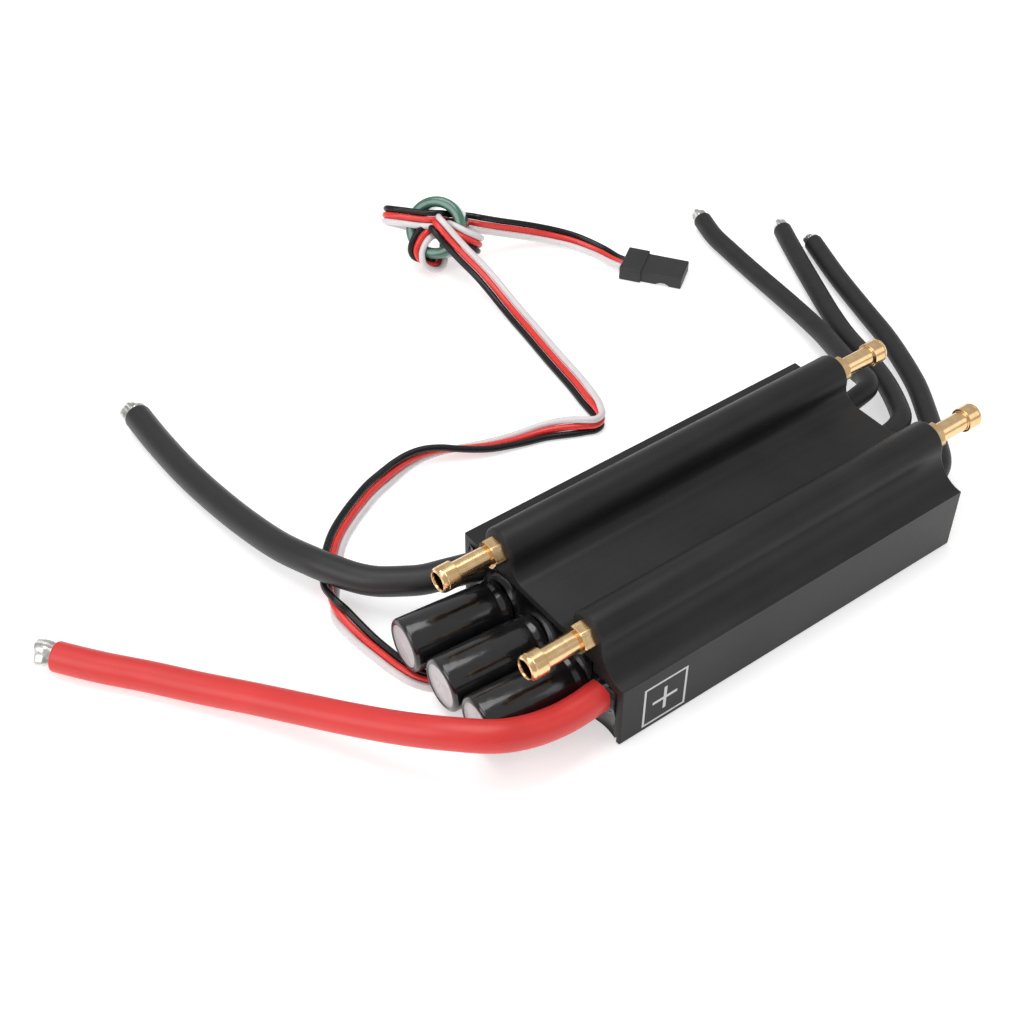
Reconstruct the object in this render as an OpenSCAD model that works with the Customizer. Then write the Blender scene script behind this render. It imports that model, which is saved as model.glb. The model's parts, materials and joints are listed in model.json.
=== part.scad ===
// Water-cooled brushless motor speed controller for a model boat.
// Frame: +X towards the motor leads, -Y is the side with the plus mark, +Z up.
// The origin is on the standing surface, under the middle of the rigid body.

/* [Case] */
// Length of the extruded case
case_length = 80; // [76:1:84]
// Width of the case
case_width = 43.6; // [43:0.2:46]
// Height of the printed side face
label_height = 13.3; // [13:0.1:13.8]
// Height of the flat deck between the cooling tubes
deck_height = 15.3; // [15:0.1:16]
// Wall thickness of the case
wall = 1.6; // [1.2:0.1:1.8]
// Thickness of the base plate
base_thickness = 1.5; // [1:0.1:1.5]

/* [Cooling tubes] */
// Distance between the two tube axes
tube_spacing = 24; // [23:0.5:24.5]
// Outer radius of a tube's rounded top
tube_radius = 4; // [3.6:0.1:4.2]
// Height of the tube axes
tube_height = 18.8; // [18.4:0.1:19.2]
// Bore of a water passage
passage_d = 4.2; // [4:0.1:4.4]
// Radius of the hollow where a tube meets the deck
flank_radius = 3; // [2.5:0.1:3]

/* [Hose nipples] */
// How far a nipple stands out of the case
nipple_reach = 12.6; // [12:0.2:13]
// Size of the hexagon across its flats
hex_flats = 4.7; // [4.4:0.1:5.2]
// Thickness of the hexagon
hex_thickness = 2.3; // [2:0.1:2.6]
// Diameter of the plain stem
stem_d = 3.7; // [3.5:0.1:3.9]
// Diameter of the hose collar at the tip
collar_d = 4.7; // [4.4:0.1:5]
// Length of the hose collar
collar_length = 3.4; // [3:0.1:4]
// Water bore through a nipple
nipple_bore = 2.8; // [2.4:0.1:2.9]

/* [Capacitors] */
// Diameter of a capacitor over its sleeve
capacitor_d = 10; // [9.8:0.1:10]
// Length of a capacitor
capacitor_length = 19.3; // [18:0.1:20]
// Thickness of the shrink sleeve
sleeve_skin = 0.3; // [0.2:0.05:0.4]
// Height of the capacitor axes
capacitor_height = 6.5; // [6.5:0.1:6.8]

/* [Leads] */
// Diameter of a battery lead over its insulation
battery_lead_d = 5.5; // [5.3:0.1:5.5]
// Diameter of a motor lead over its insulation
motor_lead_d = 4.2; // [3.8:0.1:4.4]
// Diameter of one servo wire
servo_wire_d = 1.4; // [1.2:0.1:1.4]
// Length of the tinned tip of a lead
tip_length = 4; // [2:0.2:4]

/* [Ferrite ring] */
// Outer diameter of the ring
ring_d = 13.8; // [13:0.2:14.4]
// Hole of the ring
ring_hole = 9; // [8.8:0.1:9.4]
// Thickness of the ring
ring_thickness = 5; // [4.6:0.2:5.2]

/* [Servo plug] */
// Length of the plug
plug_length = 14; // [13:0.5:14]
// Width of the plug's front part
plug_width = 7.7; // [7.4:0.1:7.9]
// Height of the plug's front part
plug_height = 2.6; // [2.4:0.1:2.8]

/* [Hidden] */
$fn = 48;
eps = 0.01;

// The case sits a little to +X, so that the rigid body is centred between tips and capacitors.
case_x = 3.7;
battery_face = case_x - case_length / 2;
motor_face = case_x + case_length / 2;
half_width = case_width / 2;
tube_y = tube_spacing / 2;

// Cavity inside the case, and the shoulder where its roof steps down over the printed side.
cavity_half = half_width - wall;
low_roof = label_height - wall;
high_roof = deck_height - wall;
roof_step_y = -14;
rebate_half = cavity_half + 0.6;
corner_r = 0.5;

// Potting at both ends, set back a little from the end faces.
potting_setback = 0.2;
potting_depth = 4.2;
potting_floor = 0.15;
plate_length = case_length - 2 * (potting_setback + potting_depth) - 0.2;

// Boards, from the roof down.
board_margin = 0.3;
power_top = low_roof - 0.2;
power_thickness = 1.6;
power_bottom = power_top - power_thickness;
board_length = plate_length - 1;
control_bottom = 4.4;
control_thickness = 1;
control_top = control_bottom + control_thickness;
control_size = [46, 32];
control_x = 2;
mosfet_size = [8.4, 8.6, 1];
mosfet_pitch = [10.6, 10.4];
mosfet_grid = [6, 3];
pad_gap = 0.05;

// Capacitors fan out slightly: y at the potting and y at the free end.
capacitor_base_x = battery_face - 0.3;
capacitor_base_y = [-9.5, 0.6, 10.7];
capacitor_end_y = [-8.3, 1.9, 12.8];
leg_d = 0.8;
leg_pitch = 5;
leg_length = 7.6;

// Battery leads, from inside the case to the bare tip.
red_route = [
    [-31.6, -16.9, 8.9], [-34, -16.9, 8.9], [-37, -16.9, 8.9], [-41.5, -17.3, 9], [-46, -17.3, 9.2],
    [-51.5, -16.7, 10], [-57, -14.9, 11], [-62.6, -9.6, 10.6], [-67.2, -3.4, 9.2], [-72, 4.3, 7.4],
    [-76.7, 12.4, 5.6], [-81.2, 19.8, 4.2], [-87, 28.1, 3.2], [-92.5, 35.6, 2.85], [-98.2, 42.6, 2.8],
    [-103.2, 49.4, 2.8]
];
black_route = [
    [-31.6, 17.4, 10.7], [-34, 17.4, 10.7], [-36.4, 17.4, 10.7], [-39, 18.6, 10.2], [-41.6, 20.1, 9.5],
    [-44.9, 22.2, 8.4], [-47.7, 24.6, 7.7], [-51.1, 27.9, 7], [-53.5, 31.4, 6.6], [-55.7, 36.1, 6.25],
    [-57.1, 39.8, 5.9], [-59.3, 47.8, 4.8], [-60.8, 57.8, 3.8], [-61.8, 67.8, 3.2], [-62.4, 78, 2.9],
    [-62.4, 89, 2.8], [-62, 98, 2.8]
];

// Motor leads, each with a close bend back along the case.
motor_a_route = [
    [38.6, 11.5, 8], [44, 11.5, 8], [47.4, 11.6, 8.3], [51.6, 11.8, 8.8], [55.9, 12.7, 8.8],
    [58.4, 15.3, 8.2], [59.9, 19.1, 7.1], [62.3, 25.2, 5.8], [66.4, 35.3, 4], [69.2, 47.1, 2.95],
    [71.7, 61.6, 2.2], [73.1, 71, 2.15], [74.2, 77.4, 2.15], [76.4, 83.8, 2.15]
];
motor_b_route = [
    [38.6, 0.8, 8], [44, 0.8, 8], [47.9, 0.9, 8], [51.8, 1.3, 8], [55.1, 2.7, 7.9], [57.9, 5.8, 7.3],
    [62.5, 12.8, 6], [65.8, 19.4, 5], [68, 25.1, 4.2], [70.7, 32, 3.2], [74.3, 39.9, 2.4],
    [79, 49.9, 2.15], [84, 60.6, 2.15], [88.6, 69.9, 2.15]
];
motor_c_route = [
    [38.6, -12.8, 8], [43.6, -12.8, 8], [46.6, -12.7, 8], [49.7, -11.9, 8], [52.7, -9.8, 7.8],
    [56.4, -5.5, 7.2], [62.6, 2.3, 6], [68.2, 9.9, 5], [73, 18.1, 4], [77.5, 27, 3], [81.5, 37.2, 2.2],
    [85.8, 49.7, 2.15], [90.7, 62, 2.15]
];

// Middle wire of the flat servo lead: x, y, z and the side on which the black wire lies,
// in degrees up from the left of the direction of travel.
servo_route = [
    [-21, 5.8, 3.7, 180], [-26, 5.8, 3.5, 180], [-31, 5.8, 2.4, 180], [-34, 5.8, 1.4, 180],
    [-37.5, 5.4, 0.9, 180], [-42, 4.6, 0.8, 180], [-47.4, 4.3, 0.75, 180], [-51.7, 5.8, 0.75, 180],
    [-54.8, 9.2, 0.75, 180], [-56.2, 13.3, 0.75, 180], [-57, 17.8, 0.75, 180],
    [-57.7, 22.8, 0.85, 172], [-58.2, 27.9, 1.4, 145], [-58, 31.6, 2.1, 95], [-56.6, 35.1, 1.8, 50],
    [-54, 39.1, 1.4, 25], [-50.8, 43.3, 1.4, 30], [-47.4, 46.5, 1.6, 38], [-43.1, 49.3, 1.7, 44],
    [-39.1, 51.4, 1.75, 48], [-35.8, 52.9, 1.8, 52], [-32.1, 54, 1.9, 60], [-28.7, 54.9, 2, 70],
    [-25.4, 55.4, 2.1, 84], [-22.1, 55.3, 2.1, 102], [-18.7, 54.4, 1.95, 122], [-15.8, 53.1, 1.7, 140],
    [-12.7, 51.7, 1.4, 155], [-9.2, 50.4, 1.1, 168], [-3.7, 48.9, 0.9, 180], [1.5, 47.4, 1.2, 200],
    [5.1, 45.4, 1.7, 225], [8.5, 43, 2.1, 262], [10.5, 42, 2.1, 270], [12.4, 42.5, 2.1, 270],
    [13.4, 44.4, 2.1, 278], [14.1, 47, 2, 302], [15, 50.6, 1.7, 322], [16.2, 55.9, 1.45, 332],
    [17.6, 65, 1.45, 332], [19.2, 74.3, 1.45, 332], [20, 80, 1.6, 332], [20.4, 85, 2.4, 330],
    [20.4, 90, 4, 328], [19.96, 94.04, 5.67, 335], [18.93, 98.17, 7.72, 320],
    [18.05, 101.86, 9.74, 320], [17.7, 103.34, 10.65, 320]
];
plug_lead_route = [
    [27.2, 106.6, 8.55, 52], [28.32, 105.24, 8.47, 52], [33, 104.4, 6.3, 50], [37.6, 102.7, 4.6, 48],
    [40.7, 101.1, 3.6, 44], [43.5, 99.4, 2.7, 38], [46.6, 96.4, 1.9, 28], [48.5, 93.5, 1.4, 18],
    [50.1, 89, 1.1, 8], [50.5, 84.8, 1.3, 0], [51.4, 82.1, 1.3, 0]
];

// The ring leans back on its windings.
ring_place = [19.2, 109, 9];
ring_turn = [52, 0, 306];
winding_half_depth = 5.6;
ring_clearance = 0.05;

// The plug lies flat at the end of the servo lead.
plug_place = [51.4, 82.1, 0];
plug_heading = -55;
plug_rear = [4.8, 8.8, 3];
contact_pitch = 2.54;
header_count = 8;
header_pitch = 2.54;
wire_pitch = servo_wire_d + 0.05;

// ---------- Curves for leads ----------

function clamp_index(route, i) = max(0, min(len(route) - 1, i));

// Catmull-Rom point between route[i] and route[i + 1].
function spline_point(route, i, t) =
    let (
        a = route[clamp_index(route, i - 1)], b = route[clamp_index(route, i)],
        c = route[clamp_index(route, i + 1)], d = route[clamp_index(route, i + 2)]
    )
    (2 * b + (c - a) * t + (2 * a - 5 * b + 4 * c - d) * t * t
        + (3 * b - a - 3 * c + d) * t * t * t) / 2;

function smooth(route, steps) = concat(
    [for (i = [0:len(route) - 2]) for (s = [0:steps - 1]) spline_point(route, i, s / steps)],
    [route[len(route) - 1]]
);

function place(p) = [p[0], p[1], p[2]];
function unit(v) = v / norm(v);
function travel(route, i) =
    unit(place(route[clamp_index(route, i + 1)]) - place(route[clamp_index(route, i - 1)]));
function left_of(v) = unit([-v[1], v[0], 0]);

// A point of the flat lead's route, lifted where the tilted lead would dip into the table.
function settled(p) =
    [p[0], p[1], max(p[2], servo_wire_d / 2 + 0.05 + wire_pitch * abs(sin(p[3])))];

// One wire of the flat lead, beside its middle wire.
function beside(route, offset) = [
    for (i = [0:len(route) - 1])
        let (side = left_of(travel(route, i)), lean = route[i][3])
        settled(route[i]) + offset * (cos(lean) * side + [0, 0, sin(lean)])
];

// Direction of a route's last stretch, as a turn for a shape that lies along +X.
module at_route_end(route) {
    last = place(route[len(route) - 1]);
    way = unit(last - place(route[len(route) - 2]));
    translate(last)
        rotate([0, -asin(way[2]), atan2(way[1], way[0])])
            children();
}

// A round tube along a route, as one closed solid.
module tube(route, d, sides = 10) {
    rings = len(route);
    points = [
        for (i = [0:rings - 1])
            let (way = travel(route, i), side = left_of(way), up = cross(way, side))
            for (k = [0:sides - 1])
                place(route[i]) + d / 2 * (cos(360 * k / sides) * side + sin(360 * k / sides) * up)
    ];
    walls = [
        for (i = [0:rings - 2]) for (k = [0:sides - 1])
            let (a = i * sides + k, b = i * sides + (k + 1) % sides)
            each [[a, b, b + sides], [a, b + sides, a + sides]]
    ];
    start = [for (k = [1:sides - 2]) [0, k + 1, k]];
    finish = [for (k = [1:sides - 2]) (rings - 1) * sides * [1, 1, 1] + [0, k, k + 1]];
    polyhedron(points, concat(walls, start, finish));
}

// ---------- Case ----------

// Lay an outline drawn in (y, z) along +X, from x = start.
module along_x(start, length) {
    translate([start, 0, 0])
        rotate([90, 0, 90])
            linear_extrude(length) children();
}

module case_outline() {
    slope_r = half_width - tube_y - tube_radius - 0.2;
    // Lower half, with its small rounded bottom corners.
    difference() {
        union() {
            translate([-half_width, 0]) square([case_width, label_height]);
            translate([-tube_y - tube_radius, 0]) square([half_width + tube_y + tube_radius, deck_height]);
        }
        for (side = [-1, 1]) scale([side, 1])
            translate([half_width - corner_r, 0]) difference() {
                translate([0, -eps]) square([corner_r + eps, corner_r + eps]);
                translate([0, corner_r]) circle(corner_r);
            }
    }
    // The two tubes and the hollows at their feet.
    for (side = [-1, 1]) {
        translate([side * tube_y, tube_height]) circle(tube_radius);
        translate([side * tube_y - tube_radius, deck_height - eps])
            square([2 * tube_radius, tube_height - deck_height + eps]);
        foot(side * (tube_y - tube_radius), -side);
    }
    foot(tube_y + tube_radius, 1);
    // The printed side has a deeper hollow that runs out at the edge.
    translate([-tube_y - tube_radius, label_height]) difference() {
        translate([-slope_r, -eps]) square([slope_r + eps, slope_r + eps]);
        translate([-slope_r, slope_r]) circle(slope_r);
    }
}

module foot(y, way) {
    translate([y, deck_height]) scale([way, 1]) difference() {
        translate([-eps, -eps]) square([flank_radius + eps, flank_radius + eps]);
        translate([flank_radius, flank_radius]) circle(flank_radius);
    }
}

module cavity_outline(floor_z) {
    translate([-cavity_half, floor_z]) square([2 * cavity_half, low_roof - floor_z]);
    translate([roof_step_y, floor_z]) square([cavity_half - roof_step_y, high_roof - floor_z]);
    translate([-rebate_half, floor_z]) square([2 * rebate_half, base_thickness - floor_z]);
}

module case() {
    color("#232325") difference() {
        along_x(battery_face, case_length) case_outline();
        along_x(battery_face - 1, case_length + 2) cavity_outline(-1);
        for (side = [-1, 1])
            translate([battery_face - 1, side * tube_y, tube_height])
                rotate([0, 90, 0]) cylinder(d = passage_d, h = case_length + 2);
    }
}

module base_plate() {
    gap = 0.1;
    color("#2b2b2d")
        translate([case_x - plate_length / 2, -rebate_half + gap, 0])
            cube([plate_length, 2 * (rebate_half - gap), base_thickness - gap]);
}

// ---------- Nipples ----------

// A nipple along +X, with its shoulder at the origin.
module nipple() {
    spigot_length = 5;
    lead_in = 0.5;
    rotate([0, 90, 0]) difference() {
        union() {
            translate([0, 0, -spigot_length]) cylinder(d = passage_d - 0.1, h = spigot_length + eps);
            cylinder(d = hex_flats / cos(30), h = hex_thickness, $fn = 6);
            cylinder(d = stem_d, h = nipple_reach - collar_length + eps);
            translate([0, 0, nipple_reach - collar_length])
                cylinder(d = collar_d, h = collar_length - lead_in);
            translate([0, 0, nipple_reach - lead_in])
                cylinder(d1 = collar_d, d2 = collar_d - 2 * lead_in, h = lead_in);
        }
        translate([0, 0, -spigot_length - 1]) cylinder(d = nipple_bore, h = nipple_reach + spigot_length + 2);
    }
}

module nipple_at(end, side) {
    color("#c39a55")
        translate([end > 0 ? motor_face : battery_face, side * tube_y, tube_height])
            rotate([0, 0, end > 0 ? 0 : 180]) nipple();
}

module nipple_battery_front() { nipple_at(-1, -1); }
module nipple_battery_rear() { nipple_at(-1, 1); }
module nipple_motor_front() { nipple_at(1, -1); }
module nipple_motor_rear() { nipple_at(1, 1); }

// ---------- Capacitors ----------

// Put a shape that lies along +X, with its origin at the base, where capacitor i lies.
module at_capacitor(i) {
    fan = asin((capacitor_end_y[i] - capacitor_base_y[i]) / capacitor_length);
    translate([capacitor_base_x, capacitor_base_y[i], capacitor_height])
        rotate([0, 0, 180 - fan])
            rotate([0, 90, 0]) children();
}

module capacitor_body(i) {
    can_d = capacitor_d - 2 * sleeve_skin;
    color("#b9bbbe") at_capacitor(i)
        translate([0, 0, sleeve_skin]) cylinder(d = can_d, h = capacitor_length - 2 * sleeve_skin);
}

module capacitor_sleeve(i) {
    window = capacitor_d - 3;
    color("#0f0f11") at_capacitor(i) difference() {
        cylinder(d = capacitor_d, h = capacitor_length);
        translate([0, 0, sleeve_skin])
            cylinder(d = capacitor_d - 2 * sleeve_skin, h = capacitor_length - 2 * sleeve_skin);
        translate([0, 0, -1]) cylinder(d = window, h = capacitor_length + 2);
    }
}

module capacitor_front() { capacitor_body(0); }
module capacitor_middle() { capacitor_body(1); }
module capacitor_rear() { capacitor_body(2); }
module sleeve_front() { capacitor_sleeve(0); }
module sleeve_middle() { capacitor_sleeve(1); }
module sleeve_rear() { capacitor_sleeve(2); }

// The two legs of capacitor i, from its base towards the boards.
module leg_pair(i, d) {
    for (side = [-0.5, 0.5]) at_capacitor(i)
        translate([0, side * leg_pitch, sleeve_skin - leg_length]) cylinder(d = d, h = leg_length);
}

// The legs turn up inside the case and reach the underside of the power board.
module capacitor_legs() {
    color("#c9c9c9") for (i = [0:2]) {
        leg_pair(i, leg_d);
        for (side = [-0.5, 0.5]) at_capacitor(i)
            translate([0, side * leg_pitch, sleeve_skin - leg_length + leg_d])
                rotate([0, -90, 0]) cylinder(d = leg_d - 0.2, h = power_bottom - capacitor_height);
    }
}

// ---------- Potting ----------

module battery_lead_holes() {
    for (route = [red_route, black_route])
        translate([battery_face - 4, route[0][1], route[0][2]])
            rotate([0, 90, 0]) cylinder(d = battery_lead_d + 0.06, h = potting_depth + 8);
}

module servo_slot() {
    slot = [20, 3 * servo_wire_d + 0.6];
    translate([battery_face - 4, servo_route[0][1] - 0.1 - slot[1] / 2, -1])
        cube([slot[0], slot[1], 4.8]);
}

module battery_end_potting() {
    color("#121214") difference() {
        along_x(battery_face + potting_setback, potting_depth) cavity_outline(potting_floor);
        battery_lead_holes();
        servo_slot();
        for (i = [0:2]) leg_pair(i, leg_d + 0.02);
    }
}

module motor_end_potting() {
    color("#121214") difference() {
        along_x(motor_face - potting_setback - potting_depth, potting_depth) cavity_outline(potting_floor);
        for (route = [motor_a_route, motor_b_route, motor_c_route])
            translate([motor_face - potting_depth - 2, route[0][1], route[0][2]])
                rotate([0, 90, 0]) cylinder(d = motor_lead_d + 0.04, h = potting_depth + 4);
    }
}

// ---------- Boards and what stands on them ----------

module power_board() {
    color("#1d5a3a")
        translate([case_x - board_length / 2, -cavity_half + board_margin, power_bottom])
            cube([board_length, 2 * (cavity_half - board_margin), power_thickness]);
}

module mosfets() {
    color("#1b1b1b") for (i = [0:mosfet_grid[0] - 1]) for (j = [0:mosfet_grid[1] - 1])
        translate([
            case_x + (i - (mosfet_grid[0] - 1) / 2) * mosfet_pitch[0] - mosfet_size[0] / 2,
            roof_step_y + 2 + j * mosfet_pitch[1],
            power_top
        ]) cube(mosfet_size);
}

module thermal_pad() {
    bottom = power_top + mosfet_size[2] + pad_gap;
    color("#8fb4c9")
        translate([case_x - board_length / 2 + 2, roof_step_y + 1, bottom])
            cube([board_length - 4, cavity_half - roof_step_y - 3, high_roof - pad_gap - bottom]);
}

module bus_bars() {
    bar = [50, 4, 1.5];
    color("#b87333") for (side = [-1, 1])
        translate([case_x - 1 - bar[0] / 2, side * 11.5 - bar[1] / 2, power_bottom - bar[2]])
            cube(bar);
}

module ceramic_capacitors() {
    size = [3.2, 2.5, 1.6];
    color("#b39d7a") for (i = [0:5]) for (side = [-1, 1])
        translate([case_x - 24 + i * 9, side * 6 - size[1] / 2, power_bottom - size[2]])
            cube(size);
}

module current_shunts() {
    size = [6.3, 3.2, 0.7];
    color("#3a3a3a") for (i = [0:1])
        translate([case_x + 2 + i * 8, -size[1] / 2, power_bottom - size[2]]) cube(size);
}

// The flattened copper ends of the leads, soldered under the power board.
module lead_feet() {
    foot = [6, 4, 1.5];
    color("#c98a4b") {
        for (route = [red_route, black_route])
            translate([route[0][0], route[0][1] - foot[1] / 2, power_bottom - foot[2]]) cube(foot);
        for (route = [motor_a_route, motor_b_route, motor_c_route])
            translate([route[0][0] - foot[0], route[0][1] - foot[1] / 2, power_bottom - foot[2]]) cube(foot);
    }
}

module control_board() {
    color("#1d5a3a") translate([control_x, 0, control_bottom + control_thickness / 2])
        cube([control_size[0], control_size[1], control_thickness], center = true);
}

module processor() {
    size = [7, 7, 1];
    color("#202020") translate([control_x - size[0] / 2, 1, control_top]) cube(size);
}

module gate_drivers() {
    size = [5, 5, 0.9];
    color("#202020") for (i = [-1:1])
        translate([control_x + i * 12 - size[0] / 2, -12, control_top]) cube(size);
}

module regulator() {
    size = [5, 4, 1.5];
    color("#202020") translate([control_x - 18, 8, control_bottom - size[2]]) cube(size);
}

module inductor() {
    size = [6.6, 6.6, 2.6];
    color("#4a4a4a") translate([control_x - 8, 6, control_bottom - size[2]]) cube(size);
}

module header_block() {
    block = [2.5, header_count * header_pitch, 2.5];
    color("#1a1a1a") difference() {
        translate([control_x + 19, -block[1] / 2, control_top]) cube(block);
        header_pin_row(0.66, control_top - 1, 5);
    }
}

module header_pins() {
    color("#c9a44c") header_pin_row(0.64, control_top, power_bottom - control_top);
}

module header_pin_row(size, bottom, height) {
    for (k = [0:header_count - 1])
        translate([control_x + 20.25, (k - (header_count - 1) / 2) * header_pitch, bottom + height / 2])
            cube([size, size, height], center = true);
}

// ---------- Leads ----------

module battery_lead_red() { color("#d9302a") tube(smooth(red_route, 2), battery_lead_d); }
module battery_lead_black() { color("#1e1e20") tube(smooth(black_route, 2), battery_lead_d); }
module motor_lead_a() { color("#26262a") tube(smooth(motor_a_route, 2), motor_lead_d); }
module motor_lead_b() { color("#26262a") tube(smooth(motor_b_route, 2), motor_lead_d); }
module motor_lead_c() { color("#26262a") tube(smooth(motor_c_route, 2), motor_lead_d); }

// The tinned copper that shows where the insulation is stripped.
module bare_tip(route, d, length) {
    color("#c4c6c8") at_route_end(smooth(route, 2)) rotate([0, 90, 0]) cylinder(d = d, h = length);
}

module battery_tip_red() { bare_tip(red_route, battery_lead_d * 0.86, tip_length); }
module battery_tip_black() { bare_tip(black_route, battery_lead_d * 0.86, tip_length); }
module motor_tip_a() { bare_tip(motor_a_route, motor_lead_d * 0.74, tip_length * 0.75); }
module motor_tip_b() { bare_tip(motor_b_route, motor_lead_d * 0.74, tip_length * 0.75); }
module motor_tip_c() { bare_tip(motor_c_route, motor_lead_d * 0.74, tip_length * 0.75); }

// ---------- Servo lead ----------

module servo_wire(offset) {
    tube(beside(servo_route, offset), servo_wire_d, 8);
    tube(beside(plug_lead_route, offset), servo_wire_d, 8);
}

module servo_wire_black() { color("#1a1a1c") servo_wire(wire_pitch); }
module servo_wire_red() { color("#d8362c") servo_wire(0); }
module servo_wire_white() { color("#e6e2e6") servo_wire(-wire_pitch); }

module at_ring() { translate(ring_place) rotate(ring_turn) children(); }

module ferrite_ring() {
    color("#2f6a55") at_ring() difference() {
        cylinder(d = ring_d, h = ring_thickness, center = true);
        cylinder(d = ring_hole, h = ring_thickness + 1, center = true);
    }
}

// Outer shape of the turns that the flat lead makes through the ring.
module servo_winding() {
    depth = 2 * winding_half_depth;
    color("#55555a") difference() {
        at_ring() difference() {
            union() {
                translate([-1.1, -0.2, 0]) cube([23.8, 6.8, depth], center = true);
                translate([-1.3, -5, 0]) cube([7.8, 9.6, depth], center = true);
                translate([2, 0, -winding_half_depth]) cube([6.4, 5, 2.8]);
            }
            difference() {
                cylinder(d = ring_d + ring_clearance, h = ring_thickness + ring_clearance, center = true);
                cylinder(d = ring_hole - ring_clearance, h = ring_thickness + 1, center = true);
            }
        }
        translate([0, 80, -20]) cube([60, 60, 20.1]);
    }
}

module at_plug() { translate(plug_place) rotate([0, 0, plug_heading]) children(); }

module servo_plug() {
    front_length = plug_length - plug_rear[0];
    window = [1.8, 1.2];
    color("#1f1f22") at_plug() difference() {
        union() {
            translate([0, -plug_rear[1] / 2, 0]) cube(plug_rear);
            translate([plug_rear[0] - eps, -plug_width / 2, 0])
                cube([front_length + eps, plug_width, plug_height]);
        }
        for (k = [-1:1]) {
            translate([1.2, k * contact_pitch - window[0] / 2, 0.7])
                cube([plug_length, window[0], window[1]]);
            translate([-1, k * wire_pitch, 1.3]) rotate([0, 90, 0]) cylinder(d = servo_wire_d + 0.1, h = 2.3);
        }
        // Key notches at the mating end.
        for (side = [-1, 1])
            translate([plug_length - 3.4, side * plug_width / 2 - 0.5, -1]) cube([2, 1, 1.6]);
    }
}

module plug_contacts() {
    shell = [8, 1.6, 1];
    color("#c9a44c") at_plug() for (k = [-1:1])
        translate([plug_length - shell[0] - 1, k * contact_pitch - shell[1] / 2, 0.8]) difference() {
            cube(shell);
            translate([-1, 0.4, 0.25]) cube([shell[0] + 2, shell[1] - 0.8, shell[2] - 0.5]);
        }
}

case();
base_plate();
battery_end_potting();
motor_end_potting();
nipple_battery_front();
nipple_battery_rear();
nipple_motor_front();
nipple_motor_rear();
capacitor_front();
capacitor_middle();
capacitor_rear();
sleeve_front();
sleeve_middle();
sleeve_rear();
capacitor_legs();
power_board();
mosfets();
thermal_pad();
bus_bars();
ceramic_capacitors();
current_shunts();
lead_feet();
control_board();
processor();
gate_drivers();
regulator();
inductor();
header_block();
header_pins();
battery_lead_red();
battery_lead_black();
motor_lead_a();
motor_lead_b();
motor_lead_c();
battery_tip_red();
battery_tip_black();
motor_tip_a();
motor_tip_b();
motor_tip_c();
servo_wire_black();
servo_wire_red();
servo_wire_white();
servo_winding();
ferrite_ring();
servo_plug();
plug_contacts();
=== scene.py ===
import json
import math

import bmesh
import bpy
import numpy as np
from mathutils import Matrix, Vector
from mathutils.geometry import tessellate_polygon


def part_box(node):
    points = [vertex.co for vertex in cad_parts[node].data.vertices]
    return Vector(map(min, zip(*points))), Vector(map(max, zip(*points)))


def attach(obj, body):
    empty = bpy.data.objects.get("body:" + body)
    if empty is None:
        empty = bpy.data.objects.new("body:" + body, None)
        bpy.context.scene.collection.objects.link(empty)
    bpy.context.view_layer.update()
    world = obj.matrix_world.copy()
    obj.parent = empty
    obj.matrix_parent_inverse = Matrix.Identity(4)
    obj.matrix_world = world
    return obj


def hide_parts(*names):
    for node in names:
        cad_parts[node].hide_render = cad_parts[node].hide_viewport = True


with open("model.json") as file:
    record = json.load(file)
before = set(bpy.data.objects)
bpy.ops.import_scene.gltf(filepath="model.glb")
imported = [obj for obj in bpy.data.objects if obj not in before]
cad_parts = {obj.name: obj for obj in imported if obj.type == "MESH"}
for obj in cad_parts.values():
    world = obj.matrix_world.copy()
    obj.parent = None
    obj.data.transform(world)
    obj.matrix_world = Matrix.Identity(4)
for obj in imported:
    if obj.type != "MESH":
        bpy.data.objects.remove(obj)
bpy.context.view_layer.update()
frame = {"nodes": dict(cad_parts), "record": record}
MM = 0.001

# ---------------------------------------------------------------- camera

AZIMUTH, ELEVATION, ROLL = math.radians(-37.51), math.radians(43.735), math.radians(0.684)
CAMERA_AT = (-154.9, -146.3, 217.0)
LENS, SENSOR = 57.9, 36.0


def camera():
    """The picture's viewpoint, about 0.3 m from the origin."""
    sa, ca, se, ce = math.sin(AZIMUTH), math.cos(AZIMUTH), math.sin(ELEVATION), math.cos(ELEVATION)
    back = Vector((sa * ce, -ca * ce, se))
    right, up = Vector((ca, sa, 0)), Vector((-sa * se, ca * se, ce))
    right, up = (right * math.cos(ROLL) + up * math.sin(ROLL),
                 up * math.cos(ROLL) - right * math.sin(ROLL))
    place = Vector(CAMERA_AT) * MM
    data = bpy.data.cameras.new("camera")
    data.lens, data.sensor_width = LENS, SENSOR
    data.clip_start, data.clip_end = 0.01, 20
    obj = bpy.data.objects.new("camera", data)
    bpy.context.scene.collection.objects.link(obj)
    turn = Matrix((right, up, back)).transposed().to_4x4()
    obj.matrix_world = Matrix.Translation(place) @ turn
    bpy.context.scene.camera = obj


# ---------------------------------------------------------------- mesh helpers

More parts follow.
